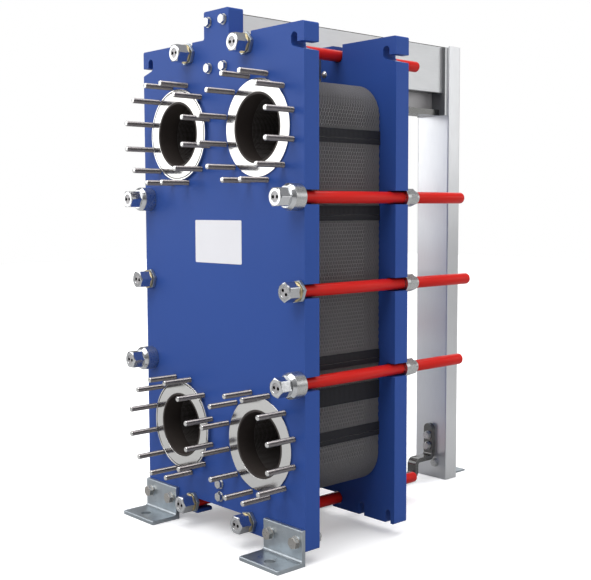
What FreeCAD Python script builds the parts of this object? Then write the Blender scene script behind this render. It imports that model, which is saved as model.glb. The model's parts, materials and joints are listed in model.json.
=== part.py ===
"""Gasketed plate heat exchanger, in millimetres.

+X is to the right, +Y runs from the fixed frame plate back to the support column, +Z is up.
The origin is on the floor, below the middle of the whole machine.
"""
import FreeCAD, Part
import math
import os

# ---- driving dimensions ----
FRONT_Y = -503.0            # front face of the fixed frame plate
PORT_X = 181.0              # port centres, left and right of the middle
PORT_RISE = 439.0           # port centres, above and below mid height
MID_Z = 741.0               # mid height between the ports, above the floor

PLATE_HALF_WIDTH = 368.0    # frame plate and pressure plate
PLATE_THICKNESS = 53.0
PLATE_TOP = 703.0           # from mid height
PLATE_FOOT = -703.0
PLATE_MID_FOOT = -656.0
CORNER_RADIUS = 6.0
NECK_HALF_WIDTH = 57.0
NECK_TOP = 782.0

PACK_LENGTH = 300.0         # between the two plates, tightened
CHANNEL_PLATES = 60
PLATES_PER_GROUP = 10
SHEET_THICKNESS = 0.6
PACK_HALF_WIDTH = 307.0
PACK_TOP = 575.0
PACK_FOOT = -590.0
PACK_CORNER_RADIUS = 96.0
PACK_PORT_RADIUS = 93.0
PORT_RADIUS = 91.0
PORT_LINING_THICKNESS = 6.0
RING_PROUD = {"left": 9.0, "right": 4.0}
RING_RADIUS = {"left": 135.0, "right": 134.0}
GASKET_WIDTH = 13.0
GASKET_MARGIN = 16.0
GASKET_TOP = 526.0
GASKET_PORT_WIDTH = 12.0

BOLT_RADIUS = 15.0          # M30 tightening bolts
BOLT_TOP_X = 134.0
BOLT_TOP_Z = 671.0
BOLT_SIDE_X = 344.0
BOLT_SIDE_STEP = 249.0
BOLT_HEAD_FLATS = 48.0
BOLT_HEAD_LENGTH = 36.0
BOLT_LENGTH = 748.0
PLAIN_HEAD_FACE = -52.0     # head end, in front of the frame plate
BOXED_HEAD_FACE = -83.0
SLOT_RADIUS = 19.5
FOOT_LIP_X = 110.0          # inner end of the lip under each bottom bolt
LIP_END_RADIUS = 6.0
TUBE_OUTER_RADIUS = 16.8
TUBE_INNER_RADIUS = 15.6

STUD_CIRCLE_RADIUS = 147.5
STUD_COUNT = 12
STUD_RADIUS = 8.0
STUD_PROUD = 97.5
STUD_DEPTH = 28.0
STUD_ROOT_RADIUS = 7.0

BEAM_HALF_WIDTH = 49.5
BEAM_TOP = 770.0
BEAM_BOX_FOOT = 612.0
BEAM_FLANGE_TOP = 557.0
BEAM_FLANGE_FOOT = 537.0
BEAM_FLANGE_HALF_WIDTH = 36.0
BEAM_WEB_HALF_WIDTH = 4.5
BEAM_WALL = 6.0
END_PLATE_THICKNESS = 12.0
END_PLATE_HALF_WIDTH = 62.0

COLUMN_FRONT = 953.0        # behind the frame plate's front face
COLUMN_HALF_WIDTH = 70.0
COLUMN_DEPTH = 61.0
COLUMN_TOP = 771.0
COLUMN_WALL = 5.0
FOOT_PLATE_HALF_WIDTH = 35.0
FOOT_PLATE_THICKNESS = 6.0
REAR_END = 1106.0

FOOT_INNER_X = 208.0
FOOT_REACH = 100.0
FOOT_THICKNESS = 12.0
FOOT_HOLE_X = 296.0
FOOT_HOLE_DEPTH = -65.0
FOOT_HOLE_RADIUS = 15.0
FOOT_BOLT_XS = (236.0, 343.0)
FOOT_BOLT_Z = -677.0
FOOT_BOLT_RADIUS = 10.0
FOOT_BOLT_FLATS = 30.0

GUIDE_HALF_WIDTH = 19.0
GUIDE_THICKNESS = 16.0
GUIDE_SHOULDER = -658.0     # top of the short stretch under each tab
GUIDE_RUN = -712.0          # top of the long low run
GUIDE_SHOULDER_LENGTH = 103.0
GUIDE_BEND_RADIUS = 24.0
GUIDE_TAB_TOP = -546.0
GUIDE_SLOT_HALF_WIDTH = 21.0
GUIDE_SLOT_TOP = -540.0     # of the notch in the sheets' lower edge
GUIDE_BOLT_ZS = (-588.0, -626.0)

NECK_BOLT_X = 34.5
NECK_BOLT_ZS = (750.5, 620.7)
REAR_BOLT_ZS = (740.0, 640.0)
FOOT_PLATE_BOLT = (23.0, -686.0)
SMALL_BOLT_RADIUS = 8.0
SMALL_BOLT_FLATS = 24.0
SMALL_BOLT_HEAD = 10.0

NUT_FLATS = 46.0
NUT_WASHER_RADIUS = 26.5
NUT_WASHER_LENGTH = 14.0
NUT_LENGTH = 30.0
NUT_BORE_RADIUS = BOLT_RADIUS + 0.06
NUT_COLLAR_RADIUS = 19.0
NUT_COLLAR_LENGTH = 13.0

ROLLER_RADIUS = 21.0
ROLLER_BORE_RADIUS = 8.05
ROLLER_PIN_RADIUS = 8.0
ROLLER_INNER_X = 9.0
ROLLER_OUTER_X = 34.0
HANGER_NOTCH_HALF_WIDTH = 62.0
HANGER_NOTCH_FOOT = 520.0
HANGER_BOLT_X = 76.0
HANGER_BOLT_Z = 622.0

HOOK_X = 329.5
HOOK_RADIUS = 12.0

LABEL_HALF_WIDTH = 107.5
LABEL_TOP = 186.0
LABEL_FOOT = 61.5

# ---- derived places ----
PRESS_FRONT = PLATE_THICKNESS + PACK_LENGTH
PRESS_BACK = PRESS_FRONT + PLATE_THICKNESS
PLATE_PITCH = PACK_LENGTH / CHANNEL_PLATES
FLOOR = -MID_Z
COLUMN_BACK = COLUMN_FRONT + COLUMN_DEPTH
NUT_START = PRESS_BACK + NUT_WASHER_LENGTH
NUT_END = NUT_START + NUT_LENGTH
TUBE_REAR_START = NUT_END + NUT_COLLAR_LENGTH
TUBE_FRONT_START = 10.0
TUBE_FRONT_END = PRESS_BACK - 1.0
GROUP_COUNT = CHANNEL_PLATES // PLATES_PER_GROUP
ROLLER_Z = BEAM_FLANGE_TOP + ROLLER_RADIUS + 0.2
ROLLER_DEPTH = PRESS_FRONT + PLATE_THICKNESS / 2

# name, x, height, with a bearing box, turn of the head, turn of its pair of spanner holes
BOLTS = [
    ("top_left", -BOLT_TOP_X, BOLT_TOP_Z, False, 30, 0),
    ("top_right", BOLT_TOP_X, BOLT_TOP_Z, False, 30, 0),
    ("upper_left", -BOLT_SIDE_X, BOLT_SIDE_STEP, True, 30, 0),
    ("upper_right", BOLT_SIDE_X, BOLT_SIDE_STEP, True, 28, 0),
    ("middle_left", -BOLT_SIDE_X, 0.0, False, 26, 8),
    ("middle_right", BOLT_SIDE_X, 0.0, False, 2, 40),
    ("lower_left", -BOLT_SIDE_X, -BOLT_SIDE_STEP, True, 30, 6),
    ("lower_right", BOLT_SIDE_X, -BOLT_SIDE_STEP, True, 46, 5),
    ("bottom_left", -BOLT_TOP_X, -BOLT_TOP_Z, False, 30, 6),
    ("bottom_right", BOLT_TOP_X, -BOLT_TOP_Z, False, 30, 6),
]
PORTS = [
    ("upper_left", -PORT_X, PORT_RISE),
    ("upper_right", PORT_X, PORT_RISE),
    ("lower_left", -PORT_X, -PORT_RISE),
    ("lower_right", PORT_X, -PORT_RISE),
]
SIDES = (("left", -1.0), ("right", 1.0))

os.makedirs("parts", exist_ok=True)


# ---- shape helpers: x, depth behind the front face, height from mid height ----
def point(x, depth, height):
    return FreeCAD.Vector(x, FRONT_Y + depth, MID_Z + height)


def box(x0, x1, d0, d1, h0, h1):
    corner = point(min(x0, x1), d0, h0)
    return Part.makeBox(abs(x1 - x0), d1 - d0, h1 - h0, corner)


def rod(x, height, radius, d0, d1):
    """A cylinder along +Y."""
    return Part.makeCylinder(radius, d1 - d0, point(x, d0, height), FreeCAD.Vector(0, 1, 0))


def cone(x, height, r0, r1, d0, d1):
    return Part.makeCone(r0, r1, d1 - d0, point(x, d0, height), FreeCAD.Vector(0, 1, 0))


def ring(x, height, outer, inner, d0, d1):
    return rod(x, height, outer, d0, d1).cut(rod(x, height, inner, d0 - 1, d1 + 1))


def slab(outline, d0, d1):
    """An outline of (x, height) points, extruded along +Y."""
    corners = [point(x, d0, height) for x, height in outline]
    face = Part.Face(Part.makePolygon(corners + corners[:1]))
    return face.extrude(FreeCAD.Vector(0, d1 - d0, 0))


def side_slab(outline, x0, x1):
    """An outline of (depth, height) points, extruded along +X."""
    corners = [point(x0, depth, height) for depth, height in outline]
    face = Part.Face(Part.makePolygon(corners + corners[:1]))
    return face.extrude(FreeCAD.Vector(x1 - x0, 0, 0))


def hexagon(x, height, flats, d0, d1, turn=0.0):
    radius = flats / math.sqrt(3)
    corners = [math.radians(turn + 60 * k) for k in range(6)]
    outline = [(x + radius * math.sin(a), height + radius * math.cos(a)) for a in corners]
    return slab(outline, d0, d1)


def chamfered_head(x, height, flats, d0, d1, turn=0.0):
    """A hexagon whose front corners are turned down to a round face."""
    corner = flats / math.sqrt(3)
    drop = (corner - flats / 2) * 0.6
    turned = cone(x, height, flats / 2 * 0.97, corner + 0.3, d0, d0 + drop)
    turned = turned.fuse(rod(x, height, corner + 0.3, d0 + drop, d1))
    return hexagon(x, height, flats, d0, d1, turn).common(turned)


def round_upright_edges(shape, radius, wanted):
    """Fillets the edges along Y that lie at the wanted (x, height) places."""
    chosen = []
    for edge in shape.Edges:
        start, end = edge.Vertexes[0].Point, edge.Vertexes[-1].Point
        if abs(start.x - end.x) > 0.01 or abs(start.z - end.z) > 0.01:
            continue
        if any(abs(start.x - x) < 0.1 and abs(start.z - MID_Z - h) < 0.1 for x, h in wanted):
            chosen.append(edge)
    return shape.makeFillet(radius, chosen)


def save(node, solids):
    shapes = []
    for item in solids:
        shapes.extend(item.Solids)
    shape = shapes[0] if len(shapes) == 1 else Part.makeCompound(shapes)
    shape.exportStep("parts/%s.step" % node)
    print(node, len(shapes), "solids", round(shape.Volume))


def cut_all(shape, tools):
    return shape.cut(Part.makeCompound(tools)) if tools else shape


# ---- the two thick plates ----
def bolt_slots(d0, d1):
    """Open slots that the tightening bolts drop into."""
    cuts = []
    for side in (-1.0, 1.0):
        x = side * BOLT_TOP_X
        cuts.append(rod(x, BOLT_TOP_Z - 1, SLOT_RADIUS, d0, d1))
        cuts.append(box(x - SLOT_RADIUS, x + SLOT_RADIUS, d0, d1, BOLT_TOP_Z - 1, PLATE_TOP + 10))
        for step in (-1, 0, 1):
            height = step * BOLT_SIDE_STEP
            x = side * BOLT_SIDE_X
            cuts.append(rod(x, height, SLOT_RADIUS, d0, d1))
            edge = side * (PLATE_HALF_WIDTH + 10)
            cuts.append(box(x, edge, d0, d1, height - SLOT_RADIUS, height + SLOT_RADIUS))
    return cuts


def foot_recess(d0, d1):
    """The stretch between the legs, and the slots that run out from it over the bottom lips."""
    top = -BOLT_TOP_Z
    recess = box(-FOOT_LIP_X, FOOT_LIP_X, d0, d1, PLATE_FOOT - 10, PLATE_MID_FOOT)
    recess = recess.fuse(box(-BOLT_TOP_X, BOLT_TOP_X, d0, d1, top - SLOT_RADIUS, PLATE_MID_FOOT))
    cuts = [recess]
    for side in (-1.0, 1.0):
        cuts.append(rod(side * BOLT_TOP_X, top, SLOT_RADIUS, d0, d1))
    return cuts


def round_lips(plate):
    """Rounds the inner end of the lip under each bottom bolt."""
    corners = [(side * FOOT_LIP_X, height) for side in (-1.0, 1.0)
               for height in (PLATE_FOOT, -BOLT_TOP_Z - SLOT_RADIUS)]
    return round_upright_edges(plate, LIP_END_RADIUS, corners)


def lifting_hooks(d0, d1):
    """Hook-shaped cut-outs in both top corners, for a lifting sling."""
    cuts = []
    for side in (-1.0, 1.0):
        x = side * HOOK_X
        inner, outer = x - side * HOOK_RADIUS, x + side * HOOK_RADIUS
        edge = side * (PLATE_HALF_WIDTH + 10)
        cuts.append(rod(x, 666.0, HOOK_RADIUS, d0, d1))
        cuts.append(rod(x, 653.0, HOOK_RADIUS, d0, d1))
        cuts.append(box(inner, outer, d0, d1, 653.0, 666.0))
        mouth = [(x, 652.0), (edge, 652.0), (edge, 627.0), (x - side * 3.0, 641.4)]
        cuts.append(slab(mouth, d0, d1))
    return cuts


def stud_places(port_x, port_height):
    for k in range(STUD_COUNT):
        angle = math.radians(15.0 + 360.0 / STUD_COUNT * k)
        yield (port_x + STUD_CIRCLE_RADIUS * math.sin(angle),
               port_height + STUD_CIRCLE_RADIUS * math.cos(angle))


def make_frame_plate():
    top, foot, half = PLATE_TOP, PLATE_FOOT, PLATE_HALF_WIDTH
    outline = [(-half, foot), (half, foot), (half, top), (NECK_HALF_WIDTH, top),
               (NECK_HALF_WIDTH, NECK_TOP), (-NECK_HALF_WIDTH, NECK_TOP),
               (-NECK_HALF_WIDTH, top), (-half, top)]
    plate = slab(outline, 0, PLATE_THICKNESS)
    corners = [(s * half, top) for s in (-1, 1)]
    corners += [(s * half, foot) for s in (-1, 1)]
    corners += [(s * NECK_HALF_WIDTH, h) for s in (-1, 1) for h in (top, NECK_TOP)]
    plate = round_upright_edges(plate, CORNER_RADIUS, corners)
    d0, d1 = -5.0, PLATE_THICKNESS + 5
    cuts = bolt_slots(d0, d1) + foot_recess(d0, d1) + lifting_hooks(d0, d1)
    for name, x, height in PORTS:
        cuts.append(rod(x, height, PORT_RADIUS + PORT_LINING_THICKNESS, d0, d1))
        for sx, sz in stud_places(x, height):
            cuts.append(rod(sx, sz, STUD_ROOT_RADIUS, d0, STUD_DEPTH))
    for side in (-1.0, 1.0):
        for height in NECK_BOLT_ZS:
            cuts.append(rod(side * NECK_BOLT_X, height, SMALL_BOLT_RADIUS + 0.6, d0, d1))
        for x in FOOT_BOLT_XS:
            cuts.append(rod(side * x, FOOT_BOLT_Z, FOOT_BOLT_RADIUS + 0.6, d0, d1))
    for height in GUIDE_BOLT_ZS:
        cuts.append(rod(0, height, SMALL_BOLT_RADIUS + 0.6, d0, d1))
    save("frame_plate", [round_lips(cut_all(plate, cuts))])


def make_pressure_plate():
    top, foot, half = PLATE_TOP, PLATE_FOOT, PLATE_HALF_WIDTH
    outline = [(-half, foot), (half, foot), (half, top), (-half, top)]
    plate = slab(outline, PRESS_FRONT, PRESS_BACK)
    corners = [(s * half, h) for s in (-1, 1) for h in (top, foot)]
    plate = round_upright_edges(plate, CORNER_RADIUS, corners)
    d0, d1 = PRESS_FRONT - 5, PRESS_BACK + 5
    cuts = bolt_slots(d0, d1) + foot_recess(d0, d1) + lifting_hooks(d0, d1)
    notch = HANGER_NOTCH_HALF_WIDTH
    cuts.append(box(-notch, notch, d0, d1, HANGER_NOTCH_FOOT, top + 10))
    for side in (-1.0, 1.0):
        cuts.append(rod(side * HANGER_BOLT_X, HANGER_BOLT_Z, SMALL_BOLT_RADIUS + 0.3, d0, d1))
        for x in FOOT_BOLT_XS:
            cuts.append(rod(side * x, -673.0, 10.0, d0, d1))
            cuts.append(box(side * x - 10, side * x + 10, d0, d1, foot - 10, -673.0))
    save("pressure_plate", [round_lips(cut_all(plate, cuts))])


# ---- ports ----
def make_ports():
    bore = PORT_RADIUS + PORT_LINING_THICKNESS
    linings = []
    for name, x, height in PORTS:
        side = "left" if x < 0 else "right"
        face, outer = -RING_PROUD[side], RING_RADIUS[side]
        flange = ring(x, height, outer, bore, face, 0)
        if side == "left":
            groove = ring(x, height, outer - 4.5, outer - 7.0, face - 1, face + 3.5)
            flange = flange.cut(groove)
        save("port_ring_" + name, [flange])
        linings.append(ring(x, height, bore, PORT_RADIUS, face, PLATE_THICKNESS))
        studs = []
        for sx, sz in stud_places(x, height):
            tip = cone(sx, sz, STUD_RADIUS - 1.5, STUD_RADIUS, -STUD_PROUD, 1.5 - STUD_PROUD)
            shank = rod(sx, sz, STUD_RADIUS, 1.5 - STUD_PROUD, 0)
            studs.append(tip.fuse([shank, rod(sx, sz, STUD_ROOT_RADIUS, 0, STUD_DEPTH)]))
        save("port_studs_" + name, studs)
    save("port_linings", linings)


# ---- front feet ----
def make_feet():
    bolts, nuts, washers = [], [], []
    for name, side in SIDES:
        outline = [(0, FLOOR), (0, FLOOR + FOOT_REACH), (-FOOT_THICKNESS, FLOOR + FOOT_REACH),
                   (-FOOT_THICKNESS, FLOOR + FOOT_THICKNESS), (-FOOT_REACH, FLOOR + FOOT_THICKNESS),
                   (-FOOT_REACH, FLOOR)]
        x0, x1 = sorted((side * FOOT_INNER_X, side * PLATE_HALF_WIDTH))
        foot = side_slab(outline, x0, x1)
        root = [edge for edge in foot.Edges
                if abs(edge.CenterOfMass.y - (FRONT_Y - FOOT_THICKNESS)) < 0.1
                and abs(edge.CenterOfMass.z - FOOT_THICKNESS) < 0.1]
        foot = foot.makeFillet(10.0, root)
        toe = [edge for edge in foot.Edges
               if (abs(edge.CenterOfMass.y - (FRONT_Y - FOOT_REACH)) < 0.1
                   and abs(edge.CenterOfMass.z - FOOT_THICKNESS) < 0.1)
               or (abs(edge.CenterOfMass.y - (FRONT_Y - FOOT_THICKNESS)) < 0.1
                   and abs(edge.CenterOfMass.z - FOOT_REACH) < 0.1)]
        foot = foot.makeFillet(4.0, toe)
        hole = Part.makeCylinder(FOOT_HOLE_RADIUS, FOOT_THICKNESS + 4,
                                 point(side * FOOT_HOLE_X, FOOT_HOLE_DEPTH, FLOOR - 2))
        holes = [hole]
        for x in FOOT_BOLT_XS:
            holes.append(rod(side * x, FOOT_BOLT_Z, FOOT_BOLT_RADIUS + 0.6, -20, 5))
            front, back = -FOOT_THICKNESS, PLATE_THICKNESS
            washers.append(ring(side * x, FOOT_BOLT_Z, 18.0, FOOT_BOLT_RADIUS + 0.6,
                                front - 3, front))
            head = chamfered_head(side * x, FOOT_BOLT_Z, FOOT_BOLT_FLATS, front - 16, front - 3, 15)
            shank = rod(side * x, FOOT_BOLT_Z, FOOT_BOLT_RADIUS, front - 3, back + 22)
            bolts.append(head.fuse(shank))
            nut = hexagon(side * x, FOOT_BOLT_Z, FOOT_BOLT_FLATS, back, back + 16, 10)
            nuts.append(nut.cut(rod(side * x, FOOT_BOLT_Z, FOOT_BOLT_RADIUS, back - 1, back + 17)))
        save("front_foot_" + name, [cut_all(foot, holes)])
    save("foot_bolts", bolts)
    save("foot_nuts", nuts)
    save("foot_washers", washers)


# ---- carrying bar, column, guide bar ----
def make_carrying_bar():
    front, back = PLATE_THICKNESS, COLUMN_FRONT
    half, wall = BEAM_HALF_WIDTH, BEAM_WALL
    bar = box(-half, half, front, back, BEAM_BOX_FOOT, BEAM_TOP)
    bar = bar.makeFillet(3.0, [e for e in bar.Edges if abs(e.tangentAt(e.FirstParameter).y) > 0.9])
    block = 20.0
    hollow = box(-half + wall, half - wall, front + block, back - END_PLATE_THICKNESS,
                 BEAM_BOX_FOOT + wall, BEAM_TOP - wall)
    web = box(-BEAM_WEB_HALF_WIDTH, BEAM_WEB_HALF_WIDTH, front, back,
              BEAM_FLANGE_TOP - 1, BEAM_BOX_FOOT + 1)
    flange = box(-BEAM_FLANGE_HALF_WIDTH, BEAM_FLANGE_HALF_WIDTH, front, back,
                 BEAM_FLANGE_FOOT, BEAM_FLANGE_TOP)
    end_plate = box(-END_PLATE_HALF_WIDTH, END_PLATE_HALF_WIDTH, back - END_PLATE_THICKNESS, back,
                    BEAM_FLANGE_FOOT, BEAM_TOP - 3)
    bar = bar.cut(hollow).fuse([web, flange, end_plate]).removeSplitter()
    holes = []
    for side in (-1.0, 1.0):
        for height in NECK_BOLT_ZS:
            holes.append(rod(side * NECK_BOLT_X, height, SMALL_BOLT_RADIUS,
                             front - 1, front + block - 2))
        for height in REAR_BOLT_ZS:
            holes.append(rod(side * NECK_BOLT_X, height, SMALL_BOLT_RADIUS,
                             back - END_PLATE_THICKNESS - 1, back + 1))
    save("carrying_bar", [cut_all(bar, holes)])


def hex_bolt(x, height, face, length, direction=1.0, turn=0.0):
    """A small hex bolt and its washer; the washer sits at depth face, the shank runs from it."""
    seat = 2.5
    if direction > 0:
        head = chamfered_head(x, height, SMALL_BOLT_FLATS, face - seat - SMALL_BOLT_HEAD,
                              face - seat, turn)
        shank = rod(x, height, SMALL_BOLT_RADIUS, face - seat, face + length)
        disc = ring(x, height, 15.0, SMALL_BOLT_RADIUS + 0.4, face - seat, face)
    else:
        head = hexagon(x, height, SMALL_BOLT_FLATS, face + seat, face + seat + SMALL_BOLT_HEAD, turn)
        shank = rod(x, height, SMALL_BOLT_RADIUS, face - length, face + seat)
        disc = ring(x, height, 15.0, SMALL_BOLT_RADIUS + 0.4, face, face + seat)
    return [head.fuse(shank), disc]


def make_bar_bolts():
    front_bolts, rear_bolts = [], []
    for side in (-1.0, 1.0):
        for height in NECK_BOLT_ZS:
            front_bolts += hex_bolt(side * NECK_BOLT_X, height, 0, PLATE_THICKNESS + 16)
        for height in REAR_BOLT_ZS:
            rear_bolts += hex_bolt(side * NECK_BOLT_X, height, COLUMN_BACK,
                                   COLUMN_DEPTH + END_PLATE_THICKNESS - 1, -1.0)
    save("carrying_bar_front_bolts", front_bolts)
    save("carrying_bar_rear_bolts", rear_bolts)


def make_column():
    half, wall = COLUMN_HALF_WIDTH, COLUMN_WALL
    base_top = FLOOR + FOOT_PLATE_THICKNESS
    column = box(-half, half, COLUMN_FRONT, COLUMN_BACK, FLOOR, COLUMN_TOP)
    upright = [e for e in column.Edges if abs(e.tangentAt(e.FirstParameter).z) > 0.9]
    column = column.makeFillet(5.0, upright)
    hollow = box(-half + wall, half - wall, COLUMN_FRONT + wall, COLUMN_BACK - wall,
                 FLOOR - 1, COLUMN_TOP - wall)
    base_slot = box(-FOOT_PLATE_HALF_WIDTH - 0.5, FOOT_PLATE_HALF_WIDTH + 0.5,
                    COLUMN_BACK - wall - 1, COLUMN_BACK + 1, FLOOR - 1, base_top + 0.5)
    cuts = [hollow, base_slot]
    for side in (-1.0, 1.0):
        for height in REAR_BOLT_ZS:
            cuts.append(rod(side * NECK_BOLT_X, height, SMALL_BOLT_RADIUS + 0.6,
                            COLUMN_FRONT - 1, COLUMN_BACK + 1))
    for height in GUIDE_BOLT_ZS:
        cuts.append(rod(0, height, SMALL_BOLT_RADIUS, COLUMN_FRONT - 1, COLUMN_FRONT + wall + 1))
    x, height = FOOT_PLATE_BOLT
    cuts.append(rod(x, height, SMALL_BOLT_RADIUS + 0.6, COLUMN_FRONT - 1, COLUMN_FRONT + wall + 1))
    save("support_column", [cut_all(column, cuts)])

    inside = COLUMN_FRONT + wall
    width = FOOT_PLATE_HALF_WIDTH
    base = box(-width, width, inside, REAR_END, FLOOR, base_top)
    upstand = box(-width, width, inside, inside + 10, FLOOR, FLOOR + 95)
    base = base.fuse(upstand).removeSplitter()
    anchor = Part.makeCylinder(9.0, FOOT_PLATE_THICKNESS + 4, point(0, COLUMN_BACK + 48, FLOOR - 2))
    tapped = rod(x, height, SMALL_BOLT_RADIUS, inside - 1, inside + 20)
    save("column_foot_plate", [cut_all(base, [anchor, tapped])])
    save("column_foot_bolt", hex_bolt(x, height, COLUMN_FRONT, wall + 9, 1.0, 30))


def guide_bar_outline(front, back):
    """One side of the bent strap as (depth, height) points: front tab, low run, rear tab."""
    thick, low = GUIDE_THICKNESS, GUIDE_RUN - GUIDE_THICKNESS
    shoulder_foot = GUIDE_SHOULDER - thick
    knee_front = front + GUIDE_SHOULDER_LENGTH
    knee_back = back - GUIDE_SHOULDER_LENGTH
    return [(front, GUIDE_TAB_TOP), (front, shoulder_foot),
            (knee_front - thick, shoulder_foot), (knee_front - thick, low),
            (knee_back + thick, low), (knee_back + thick, shoulder_foot),
            (back, shoulder_foot), (back, GUIDE_TAB_TOP),
            (back - thick, GUIDE_TAB_TOP), (back - thick, GUIDE_SHOULDER),
            (knee_back, GUIDE_SHOULDER), (knee_back, GUIDE_RUN),
            (knee_front, GUIDE_RUN), (knee_front, GUIDE_SHOULDER),
            (front + thick, GUIDE_SHOULDER), (front + thick, GUIDE_TAB_TOP)]


def bend_edges(strap, hollow_side):
    """Edges across the strap at its bends, on the hollow side or on the outer side."""
    found = []
    for edge in strap.Edges:
        centre = edge.CenterOfMass
        across = abs(edge.tangentAt(edge.FirstParameter).x) > 0.9
        if not across or centre.z > MID_Z + GUIDE_TAB_TOP - 1:
            continue
        around = [centre + FreeCAD.Vector(0, dy, dz) for dy in (-1, 1) for dz in (-1, 1)]
        filled = sum(strap.isInside(spot, 0.01, False) for spot in around)
        if filled == (3 if hollow_side else 1):
            found.append(edge)
    return found


def make_guide_bar():
    """A strap bent down from a tab at each end to a low run between them."""
    half, thick = GUIDE_HALF_WIDTH, GUIDE_THICKNESS
    front, back = PLATE_THICKNESS, COLUMN_FRONT
    bar = side_slab(guide_bar_outline(front, back), -half, half)
    bar = bar.makeFillet(GUIDE_BEND_RADIUS, bend_edges(bar, False))
    bar = bar.makeFillet(GUIDE_BEND_RADIUS - thick, bend_edges(bar, True))
    tab_corners = [e for e in bar.Edges
                   if abs(e.tangentAt(e.FirstParameter).y) > 0.9
                   and e.CenterOfMass.z > MID_Z + GUIDE_TAB_TOP - 1]
    bar = bar.makeFillet(half - 0.5, tab_corners)
    holes, front_bolts, rear_bolts = [], [], []
    for height in GUIDE_BOLT_ZS:
        holes.append(rod(0, height, SMALL_BOLT_RADIUS, front - 1, front + thick + 1))
        holes.append(rod(0, height, SMALL_BOLT_RADIUS + 0.6, back - thick - 1, back + 1))
        front_bolts += hex_bolt(0, height, 0, PLATE_THICKNESS + thick - 2)
        rear_bolts += hex_bolt(0, height, back - thick, thick + COLUMN_WALL + 3)
    save("guide_bar", [cut_all(bar, holes)])
    save("guide_bar_front_bolts", front_bolts)
    save("guide_bar_rear_bolts", rear_bolts)


# ---- tightening bolts and what sits on them ----
def make_tightening_bolts():
    boxes, box_washers, washers, blocks = [], [], [], []
    front_tubes, rear_tubes = [], []
    nuts, nut_washers = [], []
    for name, x, height, boxed, turn, holes_turn in BOLTS:
        face = BOXED_HEAD_FACE if boxed else PLAIN_HEAD_FACE
        seat = face + BOLT_HEAD_LENGTH
        head = chamfered_head(x, height, BOLT_HEAD_FLATS, face, seat, turn)
        shank = rod(x, height, BOLT_RADIUS, seat, face + BOLT_LENGTH)
        bolt = head.fuse(shank)
        for side in (-8.0, 8.0):
            across = side * math.cos(math.radians(holes_turn))
            down = side * math.sin(math.radians(holes_turn))
            bolt = bolt.cut(rod(x + across, height - down, 4.8, face - 1, face + 14))
        save("tightening_bolt_" + name, [bolt.removeSplitter()])
        inner = BOLT_RADIUS + 0.6
        if boxed:
            taper = cone(x, height, 29.0, 36.0, seat, seat + 10)
            box_washers.append(taper.cut(rod(x, height, inner, seat - 1, seat + 11)))
            boxes.append(ring(x, height, 36.0, inner, seat + 10, 0))
        else:
            washers.append(ring(x, height, 27.5, inner, seat, seat + 6))
            plate = hexagon(x, height, 56.0, seat + 6, 0, 20)
            boss = rod(x, height, SLOT_RADIUS - 1.0, -1, TUBE_FRONT_START - 1)
            plate = plate.fuse(boss)
            blocks.append(plate.cut(rod(x, height, inner, seat, TUBE_FRONT_START)))
        front_tubes.append(ring(x, height, TUBE_OUTER_RADIUS, TUBE_INNER_RADIUS,
                                TUBE_FRONT_START, TUBE_FRONT_END))
        washer = ring(x, height, NUT_WASHER_RADIUS, inner, PRESS_BACK, NUT_START)
        nut_washers.append(washer)
        nut = hexagon(x, height, NUT_FLATS, NUT_START, NUT_END, 10)
        nut = nut.fuse(rod(x, height, NUT_COLLAR_RADIUS, NUT_END, TUBE_REAR_START))
        nuts.append(nut.cut(rod(x, height, NUT_BORE_RADIUS, NUT_START - 1, TUBE_REAR_START + 1)))
        end = face + BOLT_LENGTH + 14
        tube = rod(x, height, TUBE_OUTER_RADIUS, TUBE_REAR_START, end)
        tube = tube.makeFillet(8.0, [e for e in tube.Edges
                                     if abs(e.BoundBox.YMin - FRONT_Y - end) < 0.01])
        tube = tube.cut(rod(x, height, TUBE_INNER_RADIUS, TUBE_REAR_START - 1, end - 4))
        rear_tubes.append(tube)
    save("bearing_boxes", boxes)
    save("bearing_box_washers", box_washers)
    save("bolt_head_washers", washers)
    save("bolt_seat_plates", blocks)
    save("front_thread_tubes", front_tubes)
    save("rear_thread_tubes", rear_tubes)
    save("tightening_nuts", nuts)
    save("nut_washers", nut_washers)


# ---- hanger of the pressure plate ----
def rod_along_x(x0, x1, depth, height, radius):
    low, high = sorted((x0, x1))
    return Part.makeCylinder(radius, high - low, point(low, depth, height), FreeCAD.Vector(1, 0, 0))


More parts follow.
